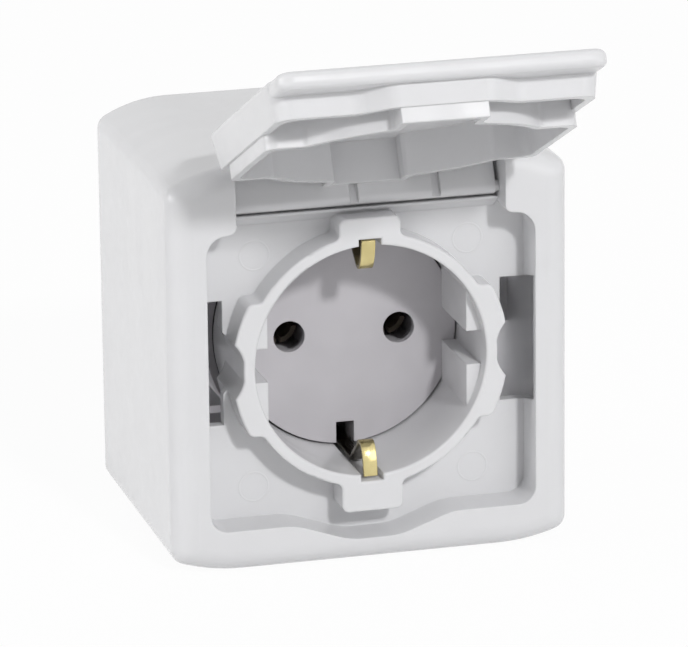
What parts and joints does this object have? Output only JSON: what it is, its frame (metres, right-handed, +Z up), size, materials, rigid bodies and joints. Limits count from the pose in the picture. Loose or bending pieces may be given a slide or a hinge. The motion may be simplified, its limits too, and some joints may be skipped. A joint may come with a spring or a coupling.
{
  "type": "surface-mounted socket outlet with hinged lid",
  "caption": "Surface-mounted earthed wall socket in light grey plastic, with a sunk front, a lobed collar round the plug well, brass earth clips and a hinged lid shown open.",
  "frame": {"origin": "middle of the base's back face, which lies on the wall, on the axis of the plug well", "axes": "+Z up, +Y into the wall, so the front faces -Y; +X to the right for someone facing the socket"},
  "size_m": [0.068, 0.0965, 0.096],
  "materials": {
    "shell_plastic": "satin light grey moulding",
    "carrier_plastic": "matt mid-grey moulding",
    "contact_brass": "bright rolled strip",
    "steel": "zinc-plated",
    "seal_rubber": "matt black"
  },
  "bodies": {
    "socket": {"hood": "shell_plastic", "hinge_pins": "steel", "base": "shell_plastic", "cable_grommet": "seal_rubber", "contact_carrier": "carrier_plastic", "carrier_rear_plate": "carrier_plastic", "well_seal": "seal_rubber", "live_contact": "contact_brass", "neutral_contact": "contact_brass", "earth_bow": "contact_brass", "live_cage": "contact_brass", "neutral_cage": "contact_brass", "earth_cage": "contact_brass", "live_clamp": "steel", "neutral_clamp": "steel", "earth_clamp": "steel", "terminal_screws": "steel", "carrier_screws": "steel", "hood_screws": "steel", "rear_plate_screws": "steel"},
    "cover": {"lid": "shell_plastic"}
  },
  "joints": [
    {"name": "lid_hinge", "type": "hinge", "parent": "socket", "child": "cover", "pos_m": [0, -0.0474, 0.0272], "axis": [1, 0, 0], "range_deg": [0, 115]}
  ]
}
